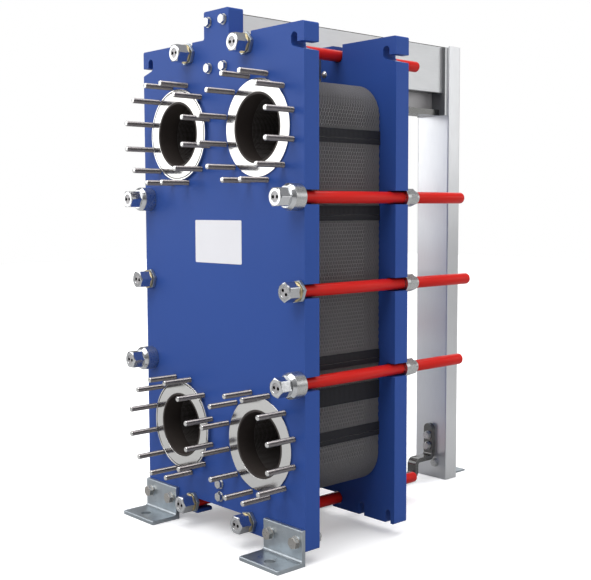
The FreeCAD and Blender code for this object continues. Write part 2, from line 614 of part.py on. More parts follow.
def make_hanger():
    """Two brackets behind the pressure plate, each with a roller on the carrying bar's flange."""
    pins, rollers, brackets, bolts = [], [], [], []
    for side in (-1.0, 1.0):
        inner, outer = side * ROLLER_INNER_X, side * ROLLER_OUTER_X
        wheel = rod_along_x(inner, outer, ROLLER_DEPTH, ROLLER_Z, ROLLER_RADIUS)
        bore = rod_along_x(inner - side, outer + side, ROLLER_DEPTH, ROLLER_Z, ROLLER_BORE_RADIUS)
        rollers.append(wheel.cut(bore))
        cheek_inner = side * (BEAM_FLANGE_HALF_WIDTH + 2)
        cheek_outer = side * (HANGER_NOTCH_HALF_WIDTH - 0.5)
        pin_end = side * (ROLLER_INNER_X - 2)
        pins.append(rod_along_x(pin_end, cheek_outer, ROLLER_DEPTH, ROLLER_Z, ROLLER_PIN_RADIUS))
        cheek = box(cheek_inner, cheek_outer, ROLLER_DEPTH - 18, PRESS_BACK + 8, 560.0, 606.0)
        flange = box(cheek_inner, side * 98.0, PRESS_BACK, PRESS_BACK + 8, 560.0, 606.0)
        flange = flange.fuse(box(side * 64.0, side * 98.0, PRESS_BACK, PRESS_BACK + 8, 560.0, 645.0))
        bracket = cheek.fuse(flange).removeSplitter()
        cuts = [rod_along_x(cheek_inner - side * 5, cheek_outer + side * 5, ROLLER_DEPTH, ROLLER_Z,
                            ROLLER_PIN_RADIUS),
                rod(side * HANGER_BOLT_X, HANGER_BOLT_Z, SMALL_BOLT_RADIUS + 0.3,
                    PRESS_BACK - 1, PRESS_BACK + 9)]
        brackets.append(cut_all(bracket, cuts))
        bolts += dome_bolt(side * HANGER_BOLT_X, HANGER_BOLT_Z)
    save("hanger_brackets", brackets)
    save("hanger_roller_pins", pins)
    save("hanger_rollers", rollers)
    save("hanger_bolts", bolts)


def dome_bolt(x, height):
    seat = PRESS_BACK + 8
    head = Part.makeSphere(11.5, point(x, PRESS_FRONT + 4, height))
    head = head.common(rod(x, height, 13.0, PRESS_FRONT - 10, PRESS_FRONT))
    shank = rod(x, height, SMALL_BOLT_RADIUS, PRESS_FRONT - 1, seat + 16)
    nut = hexagon(x, height, SMALL_BOLT_FLATS, seat, seat + 12)
    nut = nut.cut(rod(x, height, SMALL_BOLT_RADIUS, seat - 1, seat + 13))
    return [head.fuse(shank).removeSplitter(), nut]


# ---- plate pack ----
def plate_outline_solid(d0, d1):
    half, radius = PACK_HALF_WIDTH, PACK_CORNER_RADIUS
    body = box(-half, half, d0, d1, PACK_FOOT, PACK_TOP)
    upright = [e for e in body.Edges if abs(e.tangentAt(e.FirstParameter).y) > 0.9]
    body = body.makeFillet(radius, upright)
    hanger_throat = box(-8.0, 8.0, d0 - 1, d1 + 1, BEAM_FLANGE_TOP - 1, PACK_TOP + 1)
    hanger_slot = box(-40.0, 40.0, d0 - 1, d1 + 1, 531.0, BEAM_FLANGE_TOP + 0.4)
    guide_slot = box(-GUIDE_SLOT_HALF_WIDTH, GUIDE_SLOT_HALF_WIDTH, d0 - 1, d1 + 1,
                     PACK_FOOT - 1, GUIDE_SLOT_TOP)
    return body.cut(Part.makeCompound([hanger_throat, hanger_slot, guide_slot])).removeSplitter()


def port_holes(shape, radius, d0, d1, names):
    holes = [rod(x, height, radius, d0 - 1, d1 + 1) for name, x, height in PORTS if name in names]
    return cut_all(shape, holes)


def make_plate_pack():
    """Pressed sheets with a rubber gasket behind each one; the last sheet is blind."""
    every_port = [name for name, x, height in PORTS]
    gasket_depth = PLATE_PITCH - SHEET_THICKNESS
    start = PLATE_THICKNESS
    sheet = plate_outline_solid(start, start + SHEET_THICKNESS)
    pierced = port_holes(sheet, PACK_PORT_RADIUS, start, start + SHEET_THICKNESS, every_port)
    gasket = gasket_solid(start + SHEET_THICKNESS, start + PLATE_PITCH)
    for group in range(GROUP_COUNT):
        sheets, gaskets = [], []
        for k in range(PLATES_PER_GROUP):
            number = group * PLATES_PER_GROUP + k
            shift = FreeCAD.Vector(0, number * PLATE_PITCH, 0)
            blind = number == CHANNEL_PLATES - 1
            sheets.append((sheet if blind else pierced).translated(shift))
            gaskets.append(gasket.translated(shift))
        save("channel_plates_%d" % (group + 1), sheets)
        save("gaskets_%d" % (group + 1), gaskets)


def gasket_solid(d0, d1):
    """A field gasket round the plate's edge, joined to a ring round each port."""
    half, radius = PACK_HALF_WIDTH - GASKET_MARGIN, PACK_CORNER_RADIUS - GASKET_MARGIN
    foot = PACK_FOOT + GASKET_MARGIN
    outer = box(-half, half, d0, d1, foot, GASKET_TOP)
    inner = box(-half + GASKET_WIDTH, half - GASKET_WIDTH, d0 - 1, d1 + 1,
                foot + GASKET_WIDTH, GASKET_TOP - GASKET_WIDTH)
    outer = outer.makeFillet(radius, lower_corners(outer))
    inner = inner.makeFillet(radius - GASKET_WIDTH, lower_corners(inner))
    rings = [rod(x, height, PACK_PORT_RADIUS + GASKET_PORT_WIDTH, d0, d1) for _, x, height in PORTS]
    bores = [rod(x, height, PACK_PORT_RADIUS, d0 - 1, d1 + 1) for _, x, height in PORTS]
    slot_half = GUIDE_SLOT_HALF_WIDTH + 4
    collar = box(-slot_half - GASKET_WIDTH, slot_half + GASKET_WIDTH, d0, d1,
                 foot, GUIDE_SLOT_TOP + 4 + GASKET_WIDTH)
    slot = box(-slot_half, slot_half, d0 - 1, d1 + 1, foot - 1, GUIDE_SLOT_TOP + 4)
    gasket = outer.cut(inner).fuse(rings + [collar])
    return gasket.cut(Part.makeCompound(bores + [slot])).removeSplitter()


def lower_corners(block):
    """The upright-plate corners of a block's lower half."""
    return [e for e in block.Edges
            if abs(e.tangentAt(e.FirstParameter).y) > 0.9 and e.CenterOfMass.z < MID_Z]


def make_label():
    label = box(-LABEL_HALF_WIDTH, LABEL_HALF_WIDTH, -1.0, 0, LABEL_FOOT, LABEL_TOP)
    upright = [e for e in label.Edges if abs(e.tangentAt(e.FirstParameter).y) > 0.9]
    save("blank_label", [label.makeFillet(4.0, upright)])


make_frame_plate()
make_pressure_plate()
make_ports()
make_feet()
make_carrying_bar()
make_bar_bolts()
make_column()
make_guide_bar()
make_tightening_bolts()
make_hanger()
make_plate_pack()
make_label()
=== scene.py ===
import json
import math

import bmesh
import bpy
from mathutils import Matrix, Vector


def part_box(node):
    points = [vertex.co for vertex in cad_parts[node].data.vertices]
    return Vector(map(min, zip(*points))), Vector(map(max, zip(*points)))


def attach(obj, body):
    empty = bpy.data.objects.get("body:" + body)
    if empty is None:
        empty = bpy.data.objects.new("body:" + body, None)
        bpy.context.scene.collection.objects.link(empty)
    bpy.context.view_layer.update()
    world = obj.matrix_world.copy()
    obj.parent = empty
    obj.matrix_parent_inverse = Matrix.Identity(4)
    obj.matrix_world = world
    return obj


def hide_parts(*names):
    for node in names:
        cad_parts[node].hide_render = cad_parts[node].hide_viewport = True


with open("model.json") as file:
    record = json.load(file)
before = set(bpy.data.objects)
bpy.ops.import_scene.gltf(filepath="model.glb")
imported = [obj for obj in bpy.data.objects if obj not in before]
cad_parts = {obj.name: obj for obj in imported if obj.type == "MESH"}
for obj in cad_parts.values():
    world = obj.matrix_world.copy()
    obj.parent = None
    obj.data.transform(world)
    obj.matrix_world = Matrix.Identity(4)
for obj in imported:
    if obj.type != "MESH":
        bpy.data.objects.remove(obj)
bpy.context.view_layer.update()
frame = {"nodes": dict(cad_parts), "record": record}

NODES = frame["nodes"]
RECORD = frame["record"]
BODY_OF = {node: body for body, members in RECORD["behaviour"]["bodies"].items()
           for node in members}
SLOT_OF = {row["node"]: row["material_slot"] for row in RECORD["subparts"]}
MM = 0.001


def middle(node):
    low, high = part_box(node)
    return (low + high) / 2


# x, depth behind the frame plate's front face and height from mid height, in millimetres
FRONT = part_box("frame_plate")[0].y
MID = (middle("tightening_bolt_top_right").z + middle("tightening_bolt_bottom_right").z) / 2


def at(x, depth, height):
    return Vector((x * MM, FRONT + depth * MM, MID + height * MM))


# ---------------------------------------------------------------- materials
def add_node(tree, kind, **values):
    node = tree.nodes.new(kind)
    for name, value in values.items():
        setattr(node, name, value)
    return node


def noise(tree, vector, scale, detail=3.0, roughness=0.5):
    node = add_node(tree, "ShaderNodeTexNoise")
    node.inputs["Scale"].default_value = scale
    node.inputs["Detail"].default_value = detail
    node.inputs["Roughness"].default_value = roughness
    tree.links.new(vector, node.inputs["Vector"])
    return node.outputs["Fac"]


def spread(tree, value, low, high, start=0.3, end=0.7):
    node = add_node(tree, "ShaderNodeMapRange")
    node.inputs["From Min"].default_value = start
    node.inputs["From Max"].default_value = end
    node.inputs["To Min"].default_value = low
    node.inputs["To Max"].default_value = high
    tree.links.new(value, node.inputs["Value"])
    return node.outputs["Result"]


def blend_colours(tree, factor, first, second):
    node = add_node(tree, "ShaderNodeMix", data_type="RGBA")
    for name, colour in (("A", first), ("B", second)):
        socket = [s for s in node.inputs if s.name == name and s.type == "RGBA"][0]
        if isinstance(colour, tuple):
            socket.default_value = (*colour, 1.0)
        else:
            tree.links.new(colour, socket)
    tree.links.new(factor, node.inputs["Factor"])
    return [s for s in node.outputs if s.type == "RGBA"][0]


def shade(colour, factor):
    return tuple(min(1.0, c * factor) for c in colour)


RELIEF_DEPTH = 0.0003       # in metres, like all of Blender's own values


def finish(name, colour, metallic, roughness, grain, fine, bump, swing=0.06, mottle=0.08,
           patch=3.0, specular=0.5):
    """A surface with broad colour patches, a fine grain in its gloss and a shallow relief.

    The fine noise has the scale fine, stretched along each axis by grain. The roughness varies by
    swing and the colour by mottle, in patches of the scale patch.
    """
    made = bpy.data.materials.new(name)
    made.use_nodes = True
    tree = made.node_tree
    shader = tree.nodes["Principled BSDF"]
    shader.inputs["Metallic"].default_value = metallic
    shader.inputs["Specular IOR Level"].default_value = specular
    place = add_node(tree, "ShaderNodeTexCoord").outputs["Object"]
    stretch = add_node(tree, "ShaderNodeMapping")
    stretch.inputs["Scale"].default_value = grain
    tree.links.new(place, stretch.inputs["Vector"])
    small = noise(tree, stretch.outputs["Vector"], fine, 4.0, 0.6)
    broad = noise(tree, place, patch)
    tint = blend_colours(tree, spread(tree, broad, 0.0, 1.0), shade(colour, 1 - mottle),
                         shade(colour, 1 + mottle))
    tint = blend_colours(tree, spread(tree, small, 0.0, 0.35), tint, shade(colour, 1 - 2 * mottle))
    tree.links.new(tint, shader.inputs["Base Color"])
    gloss = spread(tree, small, roughness - swing, roughness + swing)
    tree.links.new(gloss, shader.inputs["Roughness"])
    relief = add_node(tree, "ShaderNodeBump")
    relief.inputs["Strength"].default_value = bump
    relief.inputs["Distance"].default_value = RELIEF_DEPTH
    tree.links.new(small, relief.inputs["Height"])
    tree.links.new(relief.outputs["Normal"], shader.inputs["Normal"])
    return made


MATERIALS = {
    "frame_blue": finish("frame_blue", (0.033, 0.088, 0.352), 0.0, 0.42, (1, 1, 1), 260.0, 0.10,
                         swing=0.04, mottle=0.03, patch=2.2, specular=0.16),
    "stainless": finish("stainless", (0.72, 0.715, 0.70), 1.0, 0.14, (1, 1, 1), 90.0, 0.03,
                        swing=0.03, mottle=0.02, patch=9.0),
    "stud_steel": finish("stud_steel", (0.27, 0.25, 0.25), 1.0, 0.22, (1, 1, 1), 300.0, 0.06,
                         mottle=0.08, patch=20.0),
    "zinc_steel": finish("zinc_steel", (0.60, 0.605, 0.60), 1.0, 0.30, (1, 1, 1), 240.0, 0.01,
                         mottle=0.07, patch=14.0),
    "black_rubber": finish("black_rubber", (0.050, 0.040, 0.036), 0.0, 0.60, (1, 1, 1), 420.0,
                           0.35, mottle=0.16, patch=12.0, specular=0.35),
    "galvanised": finish("galvanised", (0.44, 0.485, 0.52), 0.9, 0.36, (1, 1, 1), 70.0, 0.10,
                         swing=0.10, mottle=0.08, patch=26.0),
    "bar_grey": finish("bar_grey", (0.69, 0.70, 0.705), 0.8, 0.40, (12, 1, 12), 26.0, 0.05,
                       mottle=0.03, patch=4.0),
    "brushed_alloy": finish("brushed_alloy", (0.78, 0.79, 0.80), 0.9, 0.34, (9, 9, 0.35), 60.0,
                            0.10, mottle=0.05, patch=3.0),
    "dark_stainless": finish("dark_stainless", (0.17, 0.17, 0.165), 1.0, 0.24, (6, 1, 6), 60.0,
                             0.10, mottle=0.06, patch=8.0),
    "plated_bolt": finish("plated_bolt", (0.66, 0.67, 0.68), 1.0, 0.20, (1, 1, 1), 160.0, 0.08,
                          mottle=0.05, patch=20.0),
    "brass_washer": finish("brass_washer", (0.60, 0.49, 0.27), 1.0, 0.32, (1, 6, 1), 130.0, 0.10,
                           mottle=0.12, patch=30.0),
    "red_plastic": finish("red_plastic", (0.66, 0.016, 0.011), 0.0, 0.34, (1, 0.5, 1), 60.0, 0.02,
                          swing=0.03, mottle=0.02, patch=7.0, specular=0.18),
    "plate_stainless": finish("plate_stainless", (0.46, 0.45, 0.455), 0.6, 0.48, (1, 6, 1),
                              150.0, 0.08, mottle=0.06, patch=8.0),
    "white_label": finish("white_label", (0.90, 0.90, 0.94), 0.0, 0.45, (1, 1, 1), 300.0, 0.05,
                          mottle=0.012, patch=12.0),
}
# looks that stand in for a slot's own on single pieces or faces
# painted shade: a near-black finish for port ring grooves and spanner holes
RECESS_SHADE = finish("painted_recess_shade", (0.020, 0.019, 0.019), 0.4, 0.60, (1, 1, 1), 200.0, 0.10, mottle=0.10,
                patch=20.0, specular=0.2)
# painted reflection: a darker copy of plate_stainless for the beam end plate's front face
BEAM_END_REFLECTION = finish("beam_end_painted_reflection", (0.20, 0.205, 0.21), 0.6, 0.46, (1, 6, 1), 150.0, 0.08, mottle=0.06,
                  patch=8.0)
FOOT_BOLT = finish("foot_bolt", (0.47, 0.45, 0.42), 1.0, 0.30, (1, 1, 1), 240.0, 0.01,
                   mottle=0.07, patch=14.0)
CLIP_RUBBER = finish("clip_rubber", (0.014, 0.014, 0.018), 0.0, 0.55, (1, 1, 1), 420.0, 0.3,
                     mottle=0.12, patch=12.0, specular=0.3)


# ---------------------------------------------------------------- mesh helpers
def settle(piece, body, slot, *replaced):
    """Gives a finished piece its material, its body and the CAD nodes it stands for."""
    piece.data.materials.clear()
    piece.data.materials.append(MATERIALS[slot])
    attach(piece, body)
    if replaced:
        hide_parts(*replaced)
    return piece


def piece_from(name, bm, smooth_below=35.0, bevel=0.0):
    """Makes an object of a mesh, smooth up to an angle in degrees, or with rounded edges."""
    bmesh.ops.remove_doubles(bm, verts=bm.verts, dist=1e-6)
    bmesh.ops.recalc_face_normals(bm, faces=bm.faces)
    mesh = bpy.data.meshes.new(name)
    bm.to_mesh(mesh)
    bm.free()
    piece = bpy.data.objects.new(name, mesh)
    bpy.context.scene.collection.objects.link(piece)
    piece.data.polygons.foreach_set("use_smooth", [True] * len(piece.data.polygons))
    if bevel:
        soften(piece, bevel)
    else:
        piece.data.set_sharp_from_angle(angle=math.radians(smooth_below))
    return piece


def soften(piece, width):
    """Rounds the hard edges of a piece."""
    rounding = piece.modifiers.new("edges", "BEVEL")
    rounding.width = width
    rounding.segments = 2
    rounding.limit_method = "ANGLE"
    rounding.angle_limit = math.radians(32)
    rounding.use_clamp_overlap = True
    shading = piece.modifiers.new("shading", "WEIGHTED_NORMAL")
    shading.weight = 100
    shading.keep_sharp = True
    evaluated = piece.evaluated_get(bpy.context.evaluated_depsgraph_get())
    rounded = bpy.data.meshes.new_from_object(evaluated)
    piece.modifiers.clear()
    piece.data = rounded


def softened_copy(node, width):
    """A copy of a CAD node with clean faces and rounded edges."""
    bm = bmesh.new()
    bm.from_mesh(NODES[node].data)
    bmesh.ops.remove_doubles(bm, verts=bm.verts, dist=2e-6)
    bmesh.ops.dissolve_limit(bm, angle_limit=math.radians(0.4), verts=bm.verts, edges=bm.edges)
    piece = piece_from(node + "_look", bm, 30.0, width)
    return settle(piece, BODY_OF[node], SLOT_OF[node], node)


def lathe(bm, centre, profile, segments):
    """Turns (radius, depth) points round an axis along Y; radius 0 closes an end."""
    rings = []
    for radius, depth in profile:
        place = centre + Vector((0, depth * MM, 0))
        if radius == 0:
            rings.append([bm.verts.new(place)])
            continue
        ring = []
        for k in range(segments):
            angle = 2 * math.pi * k / segments
            offset = Vector((math.sin(angle), 0, math.cos(angle))) * radius * MM
            ring.append(bm.verts.new(place + offset))
        rings.append(ring)
    for first, second in zip(rings, rings[1:]):
        if len(first) == len(second) == 1:
            continue
        for k in range(segments):
            n = (k + 1) % segments
            if len(first) == 1:
                bm.faces.new((first[0], second[k], second[n]))
            elif len(second) == 1:
                bm.faces.new((first[k], first[n], second[0]))
            else:
                bm.faces.new((first[k], first[n], second[n], second[k]))


def thread(crest, root, start, end, pitch):
    """Profile points of a screw thread from one depth to another."""
    points = []
    turns = int((end - start) / pitch)
    for k in range(turns):
        base = start + k * pitch
        points += [(crest, base), (crest, base + 0.2 * pitch), (root, base + 0.6 * pitch)]
    points.append((crest, start + turns * pitch))
    return points


def circle(bm, centre, radius, depth, count, middle_x=0.0, middle_z=0.0):
    """A ring of points round an axis along Y, which middle_x and middle_z shift off the centre."""
    ring = []
    for k in range(count):
        angle = 2 * math.pi * k / count
        offset = Vector((middle_x + radius * math.sin(angle), depth,
                         middle_z + radius * math.cos(angle)))
        ring.append(bm.verts.new(centre + offset * MM))
    return ring


def bridge(bm, first, second):
    """Joins two rings of as many points with a band of faces."""
    count = len(first)
    for k in range(count):
        n = (k + 1) % count
        bm.faces.new((first[k], first[n], second[n], second[k]))


def fill_between(bm, loops):
    """Fills the flat area between one outer loop and the loops inside it."""
    edges = []
    for loop in loops:
        for k, vert in enumerate(loop):
            other = loop[(k + 1) % len(loop)]
            edges.append(bm.edges.get((vert, other)) or bm.edges.new((vert, other)))
    bmesh.ops.triangle_fill(bm, edges=edges, use_beauty=True)


# ---------------------------------------------------------------- plates, beam, column and feet
EDGE_WIDTHS = {
    "frame_plate": 1.6, "pressure_plate": 1.6, "port_linings": 1.2, "front_foot_left": 1.6,
    "front_foot_right": 1.6, "carrying_bar": 2.0, "support_column": 0.8,
    "column_foot_plate": 1.0, "guide_bar": 1.4, "foot_bolts": 0.6, "foot_nuts": 0.6,
    "foot_washers": 0.4, "carrying_bar_front_bolts": 0.6, "carrying_bar_rear_bolts": 0.6,
    "column_foot_bolt": 0.6, "guide_bar_front_bolts": 0.6, "guide_bar_rear_bolts": 0.6,
    "hanger_bolts": 0.6, "hanger_brackets": 1.0, "hanger_roller_pins": 0.6,
    "hanger_rollers": 1.0, "bearing_boxes": 1.2, "bearing_box_washers": 0.8,
    "bolt_head_washers": 0.8, "bolt_seat_plates": 0.8, "tightening_nuts": 1.0,
    "nut_washers": 1.2, "blank_label": 0.3,
}
DARKER_THAN_SLOT = {"hanger_roller_pins": MATERIALS["stud_steel"], "foot_bolts": FOOT_BOLT}
BEAM_WEB_REACH = 5.0        # the web's faces lie nearer to the middle than this
BEAM_FLANGE_REACH = 21.0    # the flange's edges lie lower than this above the beam's foot
BEAM_TOP_REACH = 4.0        # the rounded top edges start this far below the top
BEAM_END_REACH = 30.0       # the end plate's front face is nearer to the rear end than this


def shade_beam(beam):
    """Paints shade on the beam's web, underside and edges, and a reflection on its end plate."""
    for look in (MATERIALS["dark_stainless"], MATERIALS["plate_stainless"], BEAM_END_REFLECTION):
        beam.data.materials.append(look)
    painted_shade, dull, end_reflection = 1, 2, 3
    low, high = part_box("carrying_bar")
    for face in beam.data.polygons:
        sideways = abs(face.normal.x) > 0.9
        forward = face.normal.y < -0.9
        underside = face.normal.z < -0.9
        web = sideways and abs(face.center.x) < BEAM_WEB_REACH * MM
        flange_edge = sideways and face.center.z < low.z + BEAM_FLANGE_REACH * MM
        slanted = 0.05 < face.normal.z < 0.95
        top_edge = slanted and face.center.z > high.z - BEAM_TOP_REACH * MM
        # painted reflection on the end plate's front face, painted shade on the web, underside,
        # flange edges and top edges
        if forward and face.center.y > high.y - BEAM_END_REACH * MM:
            face.material_index = end_reflection
        elif web:
            face.material_index = dull
        elif underside or flange_edge or top_edge:
            face.material_index = painted_shade


for node, width in EDGE_WIDTHS.items():
    piece = softened_copy(node, width * MM)
    if node in DARKER_THAN_SLOT:
        piece.data.materials[0] = DARKER_THAN_SLOT[node]
    if node == "carrying_bar":
        shade_beam(piece)


# ---------------------------------------------------------------- ports
PORTS = [row + "_" + side for row in ("upper", "lower") for side in ("left", "right")]
RING_EDGE = 0.9
GROOVE_INNER = 7.2          # inwards from the ring's outer edge
GROOVE_OUTER = 4.3
GROOVE_DEPTH = 1.0
STUD_COUNT = 12
STUD_CIRCLE = 147.5
STUD_PROUD = 97.5
STUD_HIGHLIGHT_TIP = 1.7              # length of the tip that gets a brighter steel, a painted highlight
STUD_CREST = 8.0
STUD_ROOT = 7.0
STUD_PITCH = 2.0
STUD_SUNK = 3.0


def port_ring(port):
    """The raised ring of a port, with painted shade in its groove where the CAD has one."""
    flange = softened_copy("port_ring_" + port, RING_EDGE * MM)
    flange.data.materials.append(RECESS_SHADE)
    low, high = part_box("port_ring_" + port)
    centre = (low + high) / 2
    outer = (high.x - low.x) / 2 / MM
    for face in flange.data.polygons:
        offset = face.center - centre
        radius = math.hypot(offset.x, offset.z) / MM
        depth = (face.center.y - low.y) / MM
        if outer - GROOVE_INNER < radius < outer - GROOVE_OUTER and depth > GROOVE_DEPTH:
            face.material_index = 1


def port_studs(port):
    """The threaded studs round a port, with a painted highlight of brighter steel on their tips."""
    tip = -STUD_PROUD
    profile = [(0, tip), (6.1, tip), (6.6, tip + 0.2), (7.8, tip + 1.6)]
    profile += thread(STUD_CREST, STUD_ROOT, tip + 2.2, -0.5, STUD_PITCH)
    profile += [(STUD_ROOT, 0), (STUD_ROOT, STUD_SUNK), (0, STUD_SUNK)]
    centre = middle("port_ring_" + port)
    bm = bmesh.new()
    for k in range(STUD_COUNT):
        angle = 2 * math.pi * (k + 0.5) / STUD_COUNT
        place = Vector((centre.x, FRONT, centre.z))
        place += Vector((math.sin(angle), 0, math.cos(angle))) * STUD_CIRCLE * MM
        lathe(bm, place, profile, 16)
    studs = piece_from("port_studs_%s_look" % port, bm, 60.0)
    settle(studs, "frame", "stud_steel", "port_studs_" + port)
    studs.data.materials.append(MATERIALS["stainless"])
    # painted highlight: the tips take the bright stainless
    for face in studs.data.polygons:
        if face.center.y < FRONT - (STUD_PROUD - STUD_HIGHLIGHT_TIP) * MM:
            face.material_index = 1


for port in PORTS:
    port_ring(port)
    port_studs(port)


# ---------------------------------------------------------------- tightening bolts
# degrees that each bolt's hex head and its pair of spanner holes are turned by
BOLT_HEADS = {
    "top_left": (30, 0), "top_right": (30, 0), "upper_left": (30, 0), "upper_right": (28, 0),
    "middle_left": (26, 8), "middle_right": (2, 40), "lower_left": (30, 6),
    "lower_right": (46, 5), "bottom_left": (30, 6), "bottom_right": (30, 6),
}
HEAD_FLATS = 48.0
HEAD_LENGTH = 36.0
BOLT_LENGTH = 748.0
FACE_RADIUS = 22.4
CHAMFER_SLOPE = math.tan(math.radians(28))
DISH_RADIUS = 14.2
DISH_DEPTH = 1.6
DISH_LIP = 0.5
HOLE_RADIUS = 4.8
HOLE_OFFSET = 8.0
HOLE_DEPTH = 14.0
SHANK_CREST = 15.0
SHANK_ROOT = 13.2
SHANK_PITCH = 3.5


def bolt_head(bm, centre, turn, holes_turn):
    """A hex head with a chamfered face, a shallow dish in it and two spanner holes."""
    count = 72
    face, crown, skirt = [], [], []
    for k in range(count):
        angle = 2 * math.pi * k / count
        from_flat = (math.degrees(angle) - turn + 30) % 60 - 30
        reach = HEAD_FLATS / 2 / math.cos(math.radians(30 - abs(from_flat)))
        setback = (reach - FACE_RADIUS) * CHAMFER_SLOPE
        direction = Vector((math.sin(angle), 0, math.cos(angle)))
        for ring, radius, depth in ((face, FACE_RADIUS, 0), (crown, reach, setback),
                                    (skirt, reach, HEAD_LENGTH)):
            ring.append(bm.verts.new(centre + (direction * radius + Vector((0, depth, 0))) * MM))
    lip = circle(bm, centre, DISH_RADIUS + DISH_LIP, 0, count)
    wall = circle(bm, centre, DISH_RADIUS, DISH_LIP, count)
    dish = circle(bm, centre, DISH_RADIUS, DISH_DEPTH, count)
    for first, second in ((face, crown), (crown, skirt), (lip, face), (wall, lip), (dish, wall)):
        bridge(bm, first, second)
    bm.faces.new(skirt)
    rims = []
    for side in (-HOLE_OFFSET, HOLE_OFFSET):
        across = side * math.cos(math.radians(holes_turn))
        down = side * math.sin(math.radians(holes_turn))
        rim = circle(bm, centre, HOLE_RADIUS, DISH_DEPTH, 20, across, -down)
        floor = circle(bm, centre, HOLE_RADIUS, HOLE_DEPTH, 20, across, -down)
        bridge(bm, rim, floor)
        bm.faces.new(floor)
        rims.append(rim)
    fill_between(bm, [dish] + rims)


def bolt_shank(bm, centre):
    """The threaded shank, from just inside the head to its chamfered end."""
    start = HEAD_LENGTH - 1
    profile = [(0, start), (SHANK_CREST - 0.2, start)]
    profile += thread(SHANK_CREST, SHANK_ROOT, HEAD_LENGTH, BOLT_LENGTH - 2.5, SHANK_PITCH)
    profile += [(SHANK_ROOT - 0.6, BOLT_LENGTH), (0, BOLT_LENGTH)]
    lathe(bm, centre, profile, 20)


def shade_bolt(bolt, centre):
    """Dulls the dish in the head, and paints shade into the spanner holes."""
    bolt.data.materials.append(MATERIALS["plate_stainless"])
    bolt.data.materials.append(RECESS_SHADE)
    dull, painted_shade = 1, 2
    dish_floor = (DISH_DEPTH + 0.1) * MM
    for face in bolt.data.polygons:
        offset = face.center - centre
        inside = math.hypot(offset.x, offset.z) < DISH_RADIUS * MM
        if inside and (DISH_DEPTH - 0.1) * MM < offset.y < (HOLE_DEPTH + 1) * MM:
            face.material_index = painted_shade if offset.y > dish_floor else dull


for name, (turn, holes_turn) in BOLT_HEADS.items():
    node = "tightening_bolt_" + name
    centre = middle(node)
    centre.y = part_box(node)[0].y
    bm = bmesh.new()
    bolt_head(bm, centre, turn, holes_turn)
    bolt_shank(bm, centre)
    bolt = piece_from(node + "_look", bm, 28.0)
    settle(bolt, BODY_OF[node], "plated_bolt", node)
    shade_bolt(bolt, centre)


# ---------------------------------------------------------------- thread tubes
TUBE_OUTER = 16.8
TUBE_INNER = 15.6
CAP_RADIUS = 8.0
CAP_REACH = 14.0            # how far a capped tube goes past the end of its bolt


def tube_mouth(start):
    return [(TUBE_INNER, start), (TUBE_OUTER - 0.4, start), (TUBE_OUTER, start + 0.5)]


def open_tube(start, end):
    """Profile of a tube that is open at both ends."""
    return tube_mouth(start) + [(TUBE_OUTER, end - 0.5), (TUBE_OUTER - 0.4, end),
                                (TUBE_INNER, end), (TUBE_INNER, start)]


def capped_tube(start, end):
    """Profile of a tube that ends in a rounded cap."""
    shoulder = end - CAP_RADIUS
    profile = tube_mouth(start) + [(TUBE_OUTER, shoulder)]
    for step in range(1, 7):
        bend = math.radians(15 * step)
        profile.append((TUBE_OUTER - CAP_RADIUS + CAP_RADIUS * math.cos(bend),
                        shoulder + CAP_RADIUS * math.sin(bend)))
    return profile + [(0, end), (0, end - 4), (TUBE_INNER - 2, end - 5), (TUBE_INNER, shoulder),
                      (TUBE_INNER, start)]


for node in ("front_thread_tubes", "rear_thread_tubes"):
    low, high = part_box(node)
    start = (low.y - FRONT) / MM
    bm = bmesh.new()
    for name in BOLT_HEADS:
        place = middle("tightening_bolt_" + name)
        place.y = FRONT
        if node == "front_thread_tubes":
            profile = open_tube(start, (high.y - FRONT) / MM)
        else:
            bolt_end = (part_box("tightening_bolt_" + name)[1].y - FRONT) / MM
            profile = capped_tube(start, bolt_end + CAP_REACH)
        lathe(bm, place, profile, 40)
    tubes = piece_from(node + "_look", bm, 40.0)
    settle(tubes, BODY_OF[node], "red_plastic", node)


# ---------------------------------------------------------------- plate pack
PACK_HALF = 307.0
PACK_TOP = 575.0
PACK_FOOT = -590.0
PACK_CORNER = 96.0
SHEETS_PER_GROUP = 10
GROUPS = 6
SHEET = 0.6
PITCH = 5.0
PACK_START = 53.0
WAVE_LENGTH = 20.8
WAVE_HEIGHT = 2.15
HANGER_GAP = 41.0
HANGER_GAP_FOOT = 531.0
HOOK_INNER = 8.0            # the two hooks over the beam's flange reach in to this x
HOOK_FOOT = 557.6
GUIDE_GAP = 21.0
GUIDE_GAP_TOP = -540.0
PORT_HOLE = 93.0
# heights of the rubber clips along each side, top and foot
BANDS = [(439.0, 400.0), (226.0, 184.5), (-190.0, -229.0), (-281.0, -333.0), (-405.0, -444.0)]
# above, below, share: how the wave flattens towards the sheet's top and foot
FLAT_ENDS = [(534.0, -500.0, 0.08), (505.0, -470.0, 0.5)]
PANEL_INSET = 15.0
# inset and share of the wave, from a sheet's edge to its flat field
RIM_ROWS = ((0.0, 1.0), (9.0, 1.0), (15.5, 0.0))
CALM_FROM = 48              # the last sheets' edges, from this one on, are pressed less deep
CALM_SHARE = 0.35
CLIP_LENGTH = PITCH - 0.35
CLIP_PROUD = 0.9
CLIP_INSET = 17.0
CLIP_BEVEL = 0.6
LONG_CLIP = 45.0            # a shorter clip is split in two by a narrow gap
CLIP_SPLIT = 0.34
CLIP_SPLIT_GAP = 1.6


